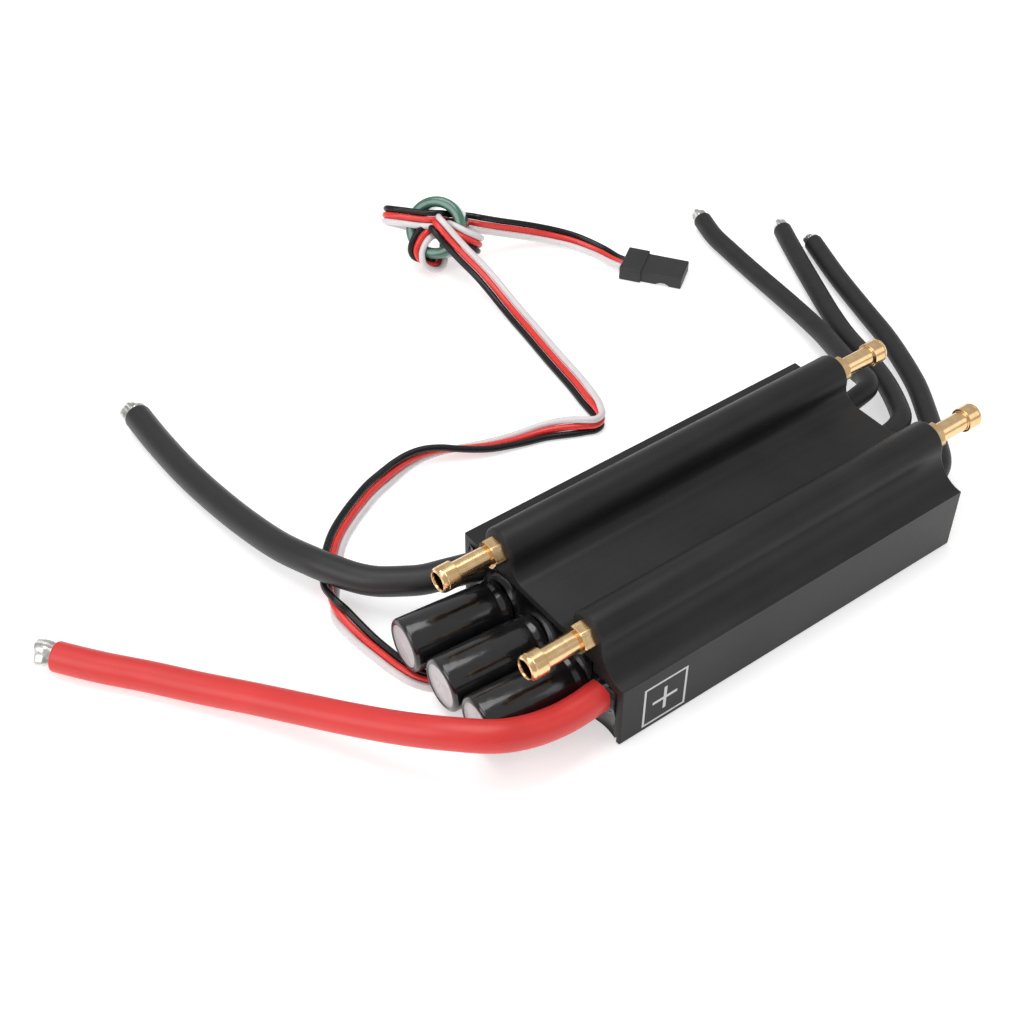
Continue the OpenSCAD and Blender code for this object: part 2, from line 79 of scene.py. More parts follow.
def piece(name, points, faces, material, sharp=35, stands_for=(), slot=None, place=None, rides=True):
    """A mesh piece from points in millimetres. place puts a piece drawn in its own frame."""
    mesh = bpy.data.meshes.new(name)
    mesh.from_pydata([tuple(c * MM for c in p) for p in points], [], faces)
    bm = bmesh.new()
    bm.from_mesh(mesh)
    bmesh.ops.remove_doubles(bm, verts=bm.verts, dist=1e-7)
    bmesh.ops.recalc_face_normals(bm, faces=bm.faces)
    bm.to_mesh(mesh)
    bm.free()
    mesh.shade_smooth()
    mesh.set_sharp_from_angle(angle=math.radians(sharp))
    mesh.materials.append(material)
    obj = bpy.data.objects.new(name, mesh)
    bpy.context.scene.collection.objects.link(obj)
    if place is not None:
        obj.matrix_world = place
    if rides:
        bpy.context.view_layer.update()
        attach(obj, "root")
    if stands_for:
        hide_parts(*stands_for)
    return obj


def unit(v):
    return v / max(np.linalg.norm(v), 1e-12)


def smooth(points, step):
    """Catmull-Rom through the points, about one sample per step of length."""
    p = np.array(points, float)
    out = []
    for i in range(len(p) - 1):
        a, b, c, d = p[max(i - 1, 0)], p[i], p[i + 1], p[min(i + 2, len(p) - 1)]
        count = max(2, int(np.linalg.norm((c - b)[:3]) / step + 0.5))
        for t in np.arange(count) / count:
            out.append((2 * b + (c - a) * t + (2 * a - 5 * b + 4 * c - d) * t ** 2
                        + (3 * b - a - 3 * c + d) * t ** 3) / 2)
    out.append(p[-1])
    return np.array(out)


def frames(path):
    """Travel, side and up at each point of a path, turned as little as possible on the way."""
    travel = np.gradient(path, axis=0)
    travel = np.array([unit(t) for t in travel])
    side = unit(np.cross((0, 0, 1), travel[0]))
    sides = []
    for t in travel:
        side = unit(side - t * side.dot(t))
        sides.append(side)
    sides = np.array(sides)
    return travel, sides, np.cross(travel, sides)


def loft(rings, closed=False):
    """Points and faces through rings of equal point count; the ends are closed with a flat face."""
    n = len(rings[0])
    points = [p for ring in rings for p in ring]
    faces = []
    spans = len(rings) if closed else len(rings) - 1
    for i in range(spans):
        a, b = i * n, (i + 1) % len(rings) * n
        for k in range(n):
            m = (k + 1) % n
            faces.append((a + k, a + m, b + m, b + k))
    if not closed:
        faces.append(tuple(reversed(range(n))))
        faces.append(tuple(range((len(rings) - 1) * n, len(rings) * n)))
    return points, faces


def section_rings(sections, sides=96):
    """Rings round the X axis. A section is (x, radius), or (x, radius, flats) for a hexagon
    cut by that radius."""
    angle = np.linspace(0, 2 * math.pi, sides, endpoint=False)
    rings = []
    for section in sections:
        r = np.full(sides, float(section[1]))
        if len(section) > 2:
            corner = (angle + math.pi / 6) % (math.pi / 3) - math.pi / 6
            r = np.minimum(r, section[2] / 2 / np.cos(corner))
        rings.append(np.stack([np.full(sides, section[0]), r * np.cos(angle), r * np.sin(angle)], 1))
    return rings


def ring_turned(points, sides=96):
    """A body turned round the X axis from a closed outline of (x, radius) points."""
    return loft(section_rings(points, sides), closed=True)


def arc(cx, cy, r, a0, a1, count):
    """Points of an arc, angles in degrees."""
    return [(cx + r * math.cos(math.radians(a)), cy + r * math.sin(math.radians(a)))
            for a in np.linspace(a0, a1, count)]


def along_x(x, y, z, turn=0.0):
    """A place whose X axis points along the row's X, turned about Z by so many degrees."""
    return Matrix.Translation(Vector((x, y, z)) * MM) @ Matrix.Rotation(math.radians(turn), 4, "Z")


# ---------------------------------------------------------------- materials

class Nodes:
    """A small helper that adds and links shader nodes."""

    def __init__(self, name):
        self.material = bpy.data.materials.new(name)
        self.material.use_nodes = True
        self.tree = self.material.node_tree
        self.shader = self.tree.nodes["Principled BSDF"]
        self.coords = self.add("ShaderNodeTexCoord").outputs["Object"]
        scale = self.add("ShaderNodeVectorMath", operation="SCALE")
        self.tree.links.new(self.coords, scale.inputs[0])
        scale.inputs["Scale"].default_value = 1 / MM
        self.mm = scale.outputs[0]

    def add(self, kind, **settings):
        node = self.tree.nodes.new(kind)
        for key, value in settings.items():
            setattr(node, key, value)
        return node

    def link(self, value, socket):
        if isinstance(value, (int, float)):
            socket.default_value = value
        else:
            self.tree.links.new(value, socket)

    def math(self, operation, a, b=0.0):
        node = self.add("ShaderNodeMath", operation=operation)
        for socket, value in zip(node.inputs, (a, b)):
            self.link(value, socket)
        return node.outputs[0]

    def noise(self, scale, stretch=(1, 1, 1), detail=4.0, roughness=0.55):
        """Noise whose scale is in features per millimetre."""
        squeeze = self.add("ShaderNodeVectorMath", operation="MULTIPLY")
        self.tree.links.new(self.mm, squeeze.inputs[0])
        squeeze.inputs[1].default_value = stretch
        node = self.add("ShaderNodeTexNoise")
        self.tree.links.new(squeeze.outputs[0], node.inputs["Vector"])
        node.inputs["Scale"].default_value = scale
        node.inputs["Detail"].default_value = detail
        node.inputs["Roughness"].default_value = roughness
        return node.outputs[0]

    def remap(self, value, low, high, start=0.3, end=0.7):
        node = self.add("ShaderNodeMapRange")
        self.link(value, node.inputs["Value"])
        for key, number in (("From Min", start), ("From Max", end), ("To Min", low), ("To Max", high)):
            node.inputs[key].default_value = number
        return node.outputs[0]

    def blend(self, factor, first, second):
        node = self.add("ShaderNodeMix", data_type="RGBA")
        self.link(factor, node.inputs[0])
        for socket, colour in ((node.inputs[6], first), (node.inputs[7], second)):
            if isinstance(colour, (tuple, list)):
                socket.default_value = (*colour, 1)
            else:
                self.tree.links.new(colour, socket)
        return node.outputs[2]

    def bump(self, heights):
        """Chained bumps; each height is (value, depth in millimetres)."""
        normal = None
        for value, depth in heights:
            node = self.add("ShaderNodeBump")
            node.inputs["Strength"].default_value = 1.0
            node.inputs["Distance"].default_value = depth * MM
            self.link(value, node.inputs["Height"])
            if normal is not None:
                self.tree.links.new(normal, node.inputs["Normal"])
            normal = node.outputs["Normal"]
        self.tree.links.new(normal, self.shader.inputs["Normal"])

    def set(self, **values):
        for key, value in values.items():
            socket = self.shader.inputs[key.replace("_", " ")]
            if isinstance(value, tuple):
                socket.default_value = (*value, 1) if len(socket.default_value) == 4 else value
            else:
                socket.default_value = value


def shades(colour, spread):
    return tuple(c * (1 - spread) for c in colour), tuple(min(1, c * (1 + spread)) for c in colour)


def surface(name, colour, rough=(0.35, 0.5), metal=0.0, spread=0.12, patch=0.35, grain=3.0,
           stretch=(1, 1, 1), depth=0.01, wave=None, **more):
    """A surface with slow patches in colour, a finer grain in gloss and height, and a slow unevenness."""
    n = Nodes(name)
    slow = n.noise(patch, detail=2.0)
    fine = n.noise(grain, stretch, detail=5.0)
    n.link(n.blend(n.remap(slow, 0, 1), *shades(colour, spread)), n.shader.inputs["Base Color"])
    n.link(n.remap(fine, *rough), n.shader.inputs["Roughness"])
    heights = [(fine, depth)]
    if wave:
        heights.insert(0, (n.noise(wave[0], detail=1.5), wave[1]))
    n.bump(heights)
    n.set(Metallic=metal, **more)
    return n.material


def anodised_case():
    """Satin black extrusion: faint lines along the pull, fine grit, and the light outlined
    plus on its side."""
    n = Nodes("anodised_case")
    pull = n.noise(2.2, (0.015, 1, 1), detail=4.0)
    grit = n.noise(9.0, detail=3.0)
    slow = n.noise(0.08, detail=2.0)
    metal = n.blend(n.remap(slow, 0, 1), (0.015, 0.0148, 0.0151), (0.0225, 0.0217, 0.0218))
    metal = n.blend(n.remap(pull, 0.0, 0.35), metal, (0.026, 0.0255, 0.026))
    split = n.add("ShaderNodeSeparateXYZ")
    n.tree.links.new(n.mm, split.inputs[0])
    x, y, z = split.outputs
    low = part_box("case")[0]
    side, from_end, from_table = 9.5, 4.74, 1.05
    line_inset, line_half, arm, bar_half = 0.25, 0.23, 2.7, 0.33
    cx, cz = low[0] / MM + from_end + side / 2, from_table + side / 2
    dx = n.math("ABSOLUTE", n.math("SUBTRACT", x, cx))
    dz = n.math("ABSOLUTE", n.math("SUBTRACT", z, cz))
    most, least = n.math("MAXIMUM", dx, dz), n.math("MINIMUM", dx, dz)
    from_line = n.math("ABSOLUTE", n.math("SUBTRACT", most, side / 2 - line_inset))
    outline = n.math("LESS_THAN", from_line, line_half)
    bars = n.math("MULTIPLY", n.math("LESS_THAN", most, arm), n.math("LESS_THAN", least, bar_half))
    mark = n.math("MULTIPLY", n.math("MAXIMUM", outline, bars),
                  n.math("LESS_THAN", y, low[1] / MM + 0.05))
    ink = n.blend(n.remap(grit, 0, 1), (0.52, 0.52, 0.53), (0.66, 0.66, 0.67))
    n.link(n.blend(mark, metal, ink), n.shader.inputs["Base Color"])
    n.link(n.math("ADD", n.remap(grit, 0.36, 0.46), n.math("MULTIPLY", mark, 0.12)),
           n.shader.inputs["Roughness"])
    n.bump([(pull, 0.006), (grit, 0.004)])
    n.set(IOR=1.5, Specular_IOR_Level=0.2)
    return n.material


def brass():
    """Turned brass: fine rings across the axis, warmer and duller patches, and painted shade darkening the
    inside of the bore.
    """
    n = Nodes("brass")
    rings = n.noise(4.0, (1, 0.03, 0.03), detail=3.0)
    slow = n.noise(0.5, detail=3.0)
    split = n.add("ShaderNodeSeparateXYZ")
    n.tree.links.new(n.mm, split.inputs[0])
    x, y, z = split.outputs
    radius = n.math("SQRT", n.math("ADD", n.math("MULTIPLY", y, y), n.math("MULTIPLY", z, z)))
    # Painted shade: inside the bore the colour turns dark brown, standing in for the shade in the hole.
    shade_radius, shade_end = 1.66, 12.2
    bore = n.math("MULTIPLY", n.math("LESS_THAN", radius, shade_radius), n.math("LESS_THAN", x, shade_end))
    metal = n.blend(n.remap(slow, 0, 1), (0.78, 0.51, 0.25), (0.93, 0.67, 0.375))
    n.link(n.blend(bore, metal, (0.10, 0.055, 0.025)), n.shader.inputs["Base Color"])
    n.link(n.remap(rings, 0.17, 0.28), n.shader.inputs["Roughness"])
    n.bump([(rings, 0.0022), (slow, 0.012)])
    n.set(Metallic=1.0)
    return n.material


def circuit_board():
    """Solder mask over faint copper tracks."""
    n = Nodes("circuit_board")
    cells = n.add("ShaderNodeTexVoronoi", feature="DISTANCE_TO_EDGE")
    n.tree.links.new(n.mm, cells.inputs["Vector"])
    cells.inputs["Scale"].default_value = 0.35
    track = n.math("LESS_THAN", cells.outputs[0], 0.08)
    n.link(n.blend(track, (0.01, 0.07, 0.035), (0.03, 0.16, 0.08)), n.shader.inputs["Base Color"])
    n.link(n.remap(n.noise(4.0), 0.25, 0.4), n.shader.inputs["Roughness"])
    n.bump([(track, 0.03)])
    return n.material


MATERIALS = {
    "anodised_case": anodised_case(),
    "base_sheet": surface("base_sheet", (0.02, 0.02, 0.021), (0.4, 0.55), stretch=(0.05, 1, 1)),
    "potting": surface("potting", (0.007, 0.007, 0.008), (0.1, 0.22), patch=0.5, grain=1.5, depth=0.02,
                      wave=(0.3, 0.16), Coat_Weight=0.12, Coat_Roughness=0.08, Specular_IOR_Level=0.32),
    "brass": brass(),
    "capacitor_can": surface("capacitor_can", (0.56, 0.56, 0.57), (0.42, 0.58), metal=0.35,
                             spread=0.05, patch=0.6, grain=7.0, stretch=(1, 1, 0.15)),
    "capacitor_sleeve": surface("capacitor_sleeve", (0.009, 0.0088, 0.0098), (0.12, 0.24), spread=0.3,
                                patch=0.4, grain=1.4, stretch=(0.4, 1, 1), depth=0.012,
                                wave=(0.45, 0.08), Coat_Weight=0.4, Coat_Roughness=0.08),
    "circuit_board": circuit_board(),
    "chip_package": surface("chip_package", (0.02, 0.02, 0.02), (0.5, 0.7), grain=8.0),
    "thermal_pad": surface("thermal_pad", (0.28, 0.42, 0.5), (0.6, 0.8), grain=2.0, depth=0.03),
    "copper": surface("copper", (0.72, 0.36, 0.2), (0.25, 0.45), metal=1.0, spread=0.15, patch=0.4),
    "ceramic_chip": surface("ceramic_chip", (0.42, 0.3, 0.18), (0.4, 0.6), grain=6.0),
    "ferrite_block": surface("ferrite_block", (0.05, 0.05, 0.055), (0.5, 0.7), grain=6.0),
    "gold_plated": surface("gold_plated", (0.85, 0.6, 0.25), (0.15, 0.3), metal=1.0, spread=0.08),
    "tinned_copper": surface("tinned_copper", (0.60, 0.585, 0.56), (0.2, 0.4), metal=1.0, spread=0.3,
                             patch=0.7, grain=1.2, depth=0.03, wave=(0.5, 0.12)),
    "red_silicone": surface("red_silicone", (0.66, 0.034, 0.03), (0.34, 0.44), spread=0.05, patch=0.1,
                            grain=3.5, depth=0.006, wave=(0.12, 0.05), Subsurface_Weight=0.08,
                            Subsurface_Radius=(1.0, 0.25, 0.2), Subsurface_Scale=0.0012),
    "black_silicone": surface("black_silicone", (0.014, 0.0135, 0.0145), (0.36, 0.48), patch=0.15,
                              depth=0.008, wave=(0.12, 0.05)),
    "grey_black_silicone": surface("grey_black_silicone", (0.0135, 0.013, 0.0145), (0.45, 0.62),
                                   spread=0.18, patch=0.25, grain=3.5, depth=0.014, wave=(0.15, 0.06),
                                   Specular_IOR_Level=0.4),
    "servo_black": surface("servo_black", (0.008, 0.0075, 0.009), (0.2, 0.32), grain=2.5, depth=0.006,
                          wave=(0.4, 0.03), Specular_IOR_Level=0.32),
    "servo_red": surface("servo_red", (0.74, 0.035, 0.028), (0.24, 0.34), spread=0.06, grain=2.5,
                        depth=0.006, wave=(0.4, 0.03), Coat_Weight=0.12, Coat_Roughness=0.15,
                        Subsurface_Weight=0.08, Subsurface_Radius=(1.0, 0.25, 0.2),
                        Subsurface_Scale=0.0006),
    "servo_white": surface("servo_white", (0.70, 0.665, 0.675), (0.24, 0.34), spread=0.03, grain=2.5,
                          depth=0.006, wave=(0.4, 0.03), Coat_Weight=0.12, Coat_Roughness=0.15,
                          Subsurface_Weight=0.15, Subsurface_Radius=(1.0, 0.9, 0.9),
                          Subsurface_Scale=0.0006),
    "servo_turns": surface("servo_turns", (0.2, 0.1, 0.1), (0.3, 0.4)),
    "ferrite_green": surface("ferrite_green", (0.052, 0.160, 0.115), (0.10, 0.2), spread=0.16, patch=0.5,
                             grain=2.0, depth=0.015, wave=(0.3, 0.12), Coat_Weight=0.8,
                             Coat_Roughness=0.1),
    "plug_plastic": surface("plug_plastic", (0.018, 0.0175, 0.018), (0.45, 0.6), grain=6.0, depth=0.012),
}

# ---------------------------------------------------------------- cords

# Routes in millimetres. part.scad repeats them, with a few more points where the flat lead leaves the
# case and where it meets the ring.

BATTERY_D, MOTOR_D, SERVO_D, PITCH = 5.5, 4.2, 1.4, 1.45

RED = [(-31.6, -16.9, 8.9), (-34, -16.9, 8.9), (-37, -16.9, 8.9), (-41.5, -17.3, 9), (-46, -17.3, 9.2),
       (-51.5, -16.7, 10), (-57, -14.9, 11), (-62.6, -9.6, 10.6), (-67.2, -3.4, 9.2), (-72, 4.3, 7.4),
       (-76.7, 12.4, 5.6), (-81.2, 19.8, 4.2), (-87, 28.1, 3.2), (-92.5, 35.6, 2.85), (-98.2, 42.6, 2.8),
       (-103.2, 49.4, 2.8)]
BLACK = [(-31.6, 17.4, 10.7), (-34, 17.4, 10.7), (-36.4, 17.4, 10.7), (-39, 18.6, 10.2), (-41.6, 20.1, 9.5),
         (-44.9, 22.2, 8.4), (-47.7, 24.6, 7.7), (-51.1, 27.9, 7), (-53.5, 31.4, 6.6), (-55.7, 36.1, 6.25),
         (-57.1, 39.8, 5.9), (-59.3, 47.8, 4.8), (-60.8, 57.8, 3.8), (-61.8, 67.8, 3.2), (-62.4, 78, 2.9),
         (-62.4, 89, 2.8), (-62, 98, 2.8)]
MOTOR = {
    "a": [(38.6, 11.5, 8), (44, 11.5, 8), (47.4, 11.6, 8.3), (51.6, 11.8, 8.8), (55.9, 12.7, 8.8),
          (58.4, 15.3, 8.2), (59.9, 19.1, 7.1), (62.3, 25.2, 5.8), (66.4, 35.3, 4),
          (69.2, 47.1, 2.95), (71.7, 61.6, 2.2), (73.1, 71, 2.15), (74.2, 77.4, 2.15), (76.4, 83.8, 2.15)],
    "b": [(38.6, 0.8, 8), (44, 0.8, 8), (47.9, 0.9, 8), (51.8, 1.3, 8), (55.1, 2.7, 7.9), (57.9, 5.8, 7.3),
          (62.5, 12.8, 6), (65.8, 19.4, 5), (68, 25.1, 4.2), (70.7, 32, 3.2), (74.3, 39.9, 2.4),
          (79, 49.9, 2.15), (84, 60.6, 2.15), (88.6, 69.9, 2.15)],
    "c": [(38.6, -12.8, 8), (43.6, -12.8, 8), (46.6, -12.7, 8), (49.7, -11.9, 8), (52.7, -9.8, 7.8),
          (56.4, -5.5, 7.2), (62.6, 2.3, 6), (68.2, 9.9, 5), (73, 18.1, 4), (77.5, 27, 3),
          (81.5, 37.2, 2.2), (85.8, 49.7, 2.15), (90.7, 62, 2.15)],
}
# Middle wire of the flat lead: x, y, z and the side of the black wire, in degrees up from the left of travel.
SERVO = [(-34.5, 5.8, 1.4, 180), (-37.5, 5.4, 0.9, 180), (-42, 4.6, 0.8, 180), (-47.4, 4.3, 0.75, 180),
         (-51.7, 5.8, 0.75, 180), (-54.8, 9.2, 0.75, 180), (-56.2, 13.3, 0.75, 180), (-57, 17.8, 0.75, 180),
         (-57.7, 22.8, 0.85, 172), (-58.2, 27.9, 1.4, 145), (-58, 31.6, 2.1, 95), (-56.6, 35.1, 1.8, 50),
         (-54, 39.1, 1.4, 25), (-50.8, 43.3, 1.4, 30), (-47.4, 46.5, 1.6, 38), (-43.1, 49.3, 1.7, 44),
         (-39.1, 51.4, 1.75, 48), (-35.8, 52.9, 1.8, 52), (-32.1, 54, 1.9, 60), (-28.7, 54.9, 2, 70),
         (-25.4, 55.4, 2.1, 84), (-22.1, 55.3, 2.1, 102), (-18.7, 54.4, 1.95, 122), (-15.8, 53.1, 1.7, 140),
         (-12.7, 51.7, 1.4, 155), (-9.2, 50.4, 1.1, 168), (-3.7, 48.9, 0.9, 180), (1.5, 47.4, 1.2, 200),
         (5.1, 45.4, 1.7, 225), (8.5, 43, 2.1, 262), (10.5, 42, 2.1, 270), (12.4, 42.5, 2.1, 270),
         (13.4, 44.4, 2.1, 278), (14.1, 47, 2, 302), (15, 50.6, 1.7, 322), (16.2, 55.9, 1.45, 332),
         (17.6, 65, 1.45, 332), (19.2, 74.3, 1.45, 332), (20, 80, 1.6, 332), (20.4, 85, 2.4, 330),
         (20.4, 90, 4, 328)]
TO_PLUG = [(33, 104.4, 6.3, 50), (37.6, 102.7, 4.6, 48), (40.7, 101.1, 3.6, 44), (43.5, 99.4, 2.7, 38),
           (46.6, 96.4, 1.9, 28), (48.5, 93.5, 1.4, 18), (50.1, 89, 1.1, 8), (50.5, 84.8, 1.3, 0),
           (51.4, 82.1, 1.3, 0)]
# The turns through the ring, in the ring's own frame: place, then the way to the black wire.
TURNS = [
    (12.55, -7.66, 4.4, -0.58, -0.81, 0), (8.6, -5.06, 4.4, -0.58, -0.81, 0),
    (5.1, -2.58, 4.5, -0.57, -0.82, 0),
    (2.3, -0.4, 4.7, -0.52, -0.85, 0), (0.7, 0.7, 4.3, -0.43, -0.9, 0), (0.0, 1.1, 2.8, -0.43, -0.9, 0),
    (-0.2, 1.15, 0.8, -0.43, -0.9, 0), (-0.1, 1.1, -1.4, -0.4, -0.9, 0), (0.9, 0.8, -3.2, -0.3, -0.95, 0),
    (3.4, 0.1, -3.9, -0.25, -0.97, 0), (7.0, -1.0, -3.5, -0.2, -0.98, 0), (9.3, -1.7, -2.1, -0.12, -1, 0),
    (10.1, -1.9, -0.1, -0.1, -1, 0), (9.5, -1.7, 2.0, -0.15, -0.99, 0), (7.6, -1.25, 3.1, -0.25, -0.97, 0),
    (5.0, -0.5, 3.3, -0.3, -0.95, 0), (3.3, -0.1, 2.8, -0.2, -0.98, 0), (2.6, -0.1, 1.0, 0.1, -1, 0),
    (2.4, -0.6, -1.2, 0.5, -0.8, 0), (2.1, -1.9, -3.2, 0.6, -0.4, -0.5), (1.7, -3.7, -3.8, 0.35, 0.1, -0.9),
    (1.4, -5.5, -3.7, 0.08, -0.31, -0.95), (1.2, -6.9, -2.8, -0.8, -0.2, -0.5),
    (0.8, -7.9, -1.3, -0.8, 0.55, -0.15),
    (-0.2, -8.2, 0.2, -0.2, 0.62, -0.75), (-1.4, -8.0, 1.3, -0.5, 0.4, -0.75),
    (-2.4, -7.2, 2.1, -0.85, 0.1, -0.5),
    (-3.0, -6.0, 2.7, -0.98, 0.0, -0.2), (-2.8, -4.4, 3.2, -0.97, 0.2, 0), (-2.1, -2.7, 3.4, -0.85, 0.5, 0),
    (-1.3, -1.4, 3.1, -0.7, 0.7, 0), (-0.7, -0.7, 1.9, -0.7, 0.7, 0), (-0.6, -0.4, 0, -0.6, 0.8, 0),
    (-1.0, -0.2, -2.0, -0.2, 1, 0), (-2.7, 0.1, -3.5, 0, 1, 0), (-6.2, 0.4, -3.9, 0, 1, 0),
    (-9.6, 0.6, -3.2, 0, 1, 0), (-11.7, 0.72, -1.6, 0, 1, 0), (-12.3, 0.76, 0.4, 0, 1, 0),
    (-11.5, 0.8, 2.3, 0, 1, 0), (-9.4, 0.85, 3.2, 0, 1, 0), (-6.4, 1.0, 3.3, -0.05, 1, 0),
    (-3.4, 1.14, 3.3, -0.05, 1, 0), (-0.8, 1.45, 3.2, -0.05, 1, 0), (0.7, 1.8, 2.2, 0, 1, 0),
    (1.3, 2.0, 0.3, 0, 1, 0), (1.8, 2.1, -1.6, 0, 1, 0), (3.2, 2.4, -3.2, 0, 1, 0),
    (6.0, 2.75, -4.2, 0, 1, 0),
    (8.4, 2.76, -4.4, 0, 1, 0),
]
PLUG_HEADING = -55
RING = Vector((19.2, 109.0, 9))
RING_TURN = Matrix.Rotation(math.radians(306), 3, "Z") @ Matrix.Rotation(math.radians(52), 3, "X")


def servo_centre():
    """The middle wire's path, and at each point the way to the black wire."""
    def on_table(route):
        rows = []
        for i, (x, y, z, lean) in enumerate(route):
            before, after = route[max(i - 1, 0)], route[min(i + 1, len(route) - 1)]
            t = np.array(after[:2]) - np.array(before[:2])
            left = unit(np.array([-t[1], t[0], 0.0]))
            c, s = math.cos(math.radians(lean)), math.sin(math.radians(lean))
            z = max(z, SERVO_D / 2 + 0.05 + PITCH * abs(s))
            rows.append([x, y, z, *(c * left + np.array([0, 0, s]))])
        return rows

    turns = [[*(RING + RING_TURN @ Vector(p[:3])), *(RING_TURN @ Vector(p[3:]))] for p in TURNS]
    rows = smooth(on_table(SERVO) + turns + on_table(TO_PLUG), 0.45)
    centre, way = rows[:, :3], rows[:, 3:]
    travel = np.gradient(centre, axis=0)
    way = np.array([unit(w - unit(t) * w.dot(unit(t))) for w, t in zip(way, travel)])
    return centre, way


def cord_mesh(name, path, d, material, sides, bare=False, **where):
    """A round cord along a dense path. A stripped cord's far end is cut square, with the bore
    that holds its strands."""
    step = unit(path[-1] - path[-2])
    ends, radii = list(path[:-1]), [d / 2] * (len(path) - 1)
    last = path[-1]
    lip = 0.07 * d
    if bare:
        for x, r in ((-lip, d / 2), (-lip * 0.3, d / 2 - lip * 0.25), (0, d / 2 - lip), (0, d * 0.36),
                     (-lip, d * 0.345), (-d * 0.3, d * 0.34)):
            ends.append(last + step * x)
            radii.append(r)
    else:
        ends.append(last)
        radii.append(d / 2)
    ends = np.array(ends)
    _, side, up = frames(path)
    angle = np.linspace(0, 2 * math.pi, sides, endpoint=False)
    extra = len(ends) - len(path) + 1
    side = np.vstack([side[:-1], np.repeat(side[-1:], extra, axis=0)])
    up = np.vstack([up[:-1], np.repeat(up[-1:], extra, axis=0)])
    rings = [ends[i] + radii[i] * (np.outer(np.cos(angle), side[i]) + np.outer(np.sin(angle), up[i]))
             for i in range(len(ends))]
    points, faces = loft(rings)
    return piece(name, points, faces, material, 40, **where)


def tinned_tip(name, path, r, reach, flat, seed, **where):
    """Cut and tinned strands standing out of a lead: a flattened chunk with creases and a slanting cut."""
    rng = np.random.default_rng(seed)
    step = unit(path[-1] - path[-2])
    side = unit(np.cross((0, 0, 1), step))
    up = np.cross(step, side)
    sides, rows = 72, 18
    angle = np.linspace(0, 2 * math.pi, sides, endpoint=False)
    turn, slant = rng.uniform(0.1, 0.6), rng.uniform(0, 6.28)
    boxy = 0.96 + 0.13 * np.cos(4 * (angle + turn))
    creases = [(rng.uniform(0, 6.28), rng.uniform(-0.3, 0.3), rng.uniform(0.14, 0.26)) for _ in range(3)]
    lobes = [(k, rng.uniform(-1, 1), rng.uniform(0, 6.28)) for k in (1, 2, 3)]
    rings = []
    for i in range(rows + 1):
        s = i / rows
        dent = np.zeros(sides)
        for at, drift, deep in creases:
            gap = np.abs((angle - at - drift * s + math.pi) % (2 * math.pi) - math.pi)
            dent += deep * np.exp(-(gap / 0.13) ** 2) * (1 - 0.4 * s)
        lump = sum(high * np.cos(k * angle + phase + 1.5 * s) for k, high, phase in lobes) * 0.05
        swell = 0.80 + 0.2 * min(1, max(0, (s - 0.22) / 0.3))
        shape = (1 - min(1, 2.5 * s)) + min(1, 2.5 * s) * boxy
        rr = r * swell * (shape + lump - dent) * (1 - 0.08 * max(0, s - 0.85) / 0.15)
        x = -0.8 + (reach + 0.8) * s + 0.26 * r * np.cos(angle - slant) * s ** 2
        rings.append(path[-1] + np.outer(x, step) + np.outer(rr * (1 + 0.2 * flat * s) * np.cos(angle), side)
                     + np.outer(rr * (1 - flat * s) * np.sin(angle), up))
    for shrink in (0.86, 0.6, 0.3):
        mid = rings[rows].mean(axis=0)
        ring = mid + (rings[rows] - mid) * shrink
        lift = 0.05 * r * np.cos(3 * angle + shrink * 9) + 0.05 * r * (1 - shrink)
        rings.append(ring + np.outer(lift, step))
    points, faces = loft(rings)
    return piece(name, points, faces, MATERIALS["tinned_copper"], 32, slot="tinned_copper", **where)


def leads():
    """The thick leads and their tips."""
    # Route, diameter, slot, and the tip's share of the diameter, reach, flatness and seed.
    plan = {
        "battery_lead_red": (RED, BATTERY_D, "red_silicone", 0.44, 3.5, 0.06, 11),
        "battery_lead_black": (BLACK, BATTERY_D, "black_silicone", 0.42, 2.7, 0.1, 12),
        "motor_lead_a": (MOTOR["a"], MOTOR_D, "grey_black_silicone", 0.37, 3.0, 0.06, 13),
        "motor_lead_b": (MOTOR["b"], MOTOR_D, "grey_black_silicone", 0.38, 2.3, 0.12, 14),
        "motor_lead_c": (MOTOR["c"], MOTOR_D, "grey_black_silicone", 0.38, 2.0, 0.1, 15),
    }
    for node, (route, d, slot, share, reach, flat, seed) in plan.items():
        tip = node.replace("lead", "tip")
        path = smooth(route, 0.8)
        cord = cord_mesh(node + "_jacket", path, d, MATERIALS[slot], 40, bare=True,
                         stands_for=(node,), slot=slot)
        end = tinned_tip(tip + "_strands", path, d * share, reach, flat, seed, stands_for=(tip,))
        exit_at = path[np.abs(np.abs(path[:, 0] - 3.7) - 40).argmin()]


def servo_lead():
    """Three wires side by side, through the ring and on to the plug."""
    centre, way = servo_centre()
    for name, offset, slot in (("black", PITCH, "servo_black"), ("red", 0.0, "servo_red"),
                               ("white", -PITCH, "servo_white")):
        path = centre + offset * way
        stands = ("servo_wire_" + name,) + (("servo_winding",) if name == "red" else ())
        cord = cord_mesh("servo_" + name, path, SERVO_D, MATERIALS[slot], 14, stands_for=stands, slot=slot)


# ---------------------------------------------------------------- rigid pieces

CASE_LOW, CASE_HIGH = (tuple(c / MM for c in corner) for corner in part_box("case"))
LEFT, RIGHT = CASE_LOW[0], CASE_HIGH[0]
HALF, DECK, LABEL, TUBE_Y, TUBE_Z, TUBE_R, FLANK = 21.8, 15.3, 13.3, 12.0, 18.8, 3.99, 3.0
INNER, LOW_ROOF, HIGH_ROOF, ROOF_STEP, REBATE, FOOT = 20.2, 11.7, 13.7, -14, 20.8, 1.5
PASSAGE_R, PASSAGE_SIDES = 2.1, 40


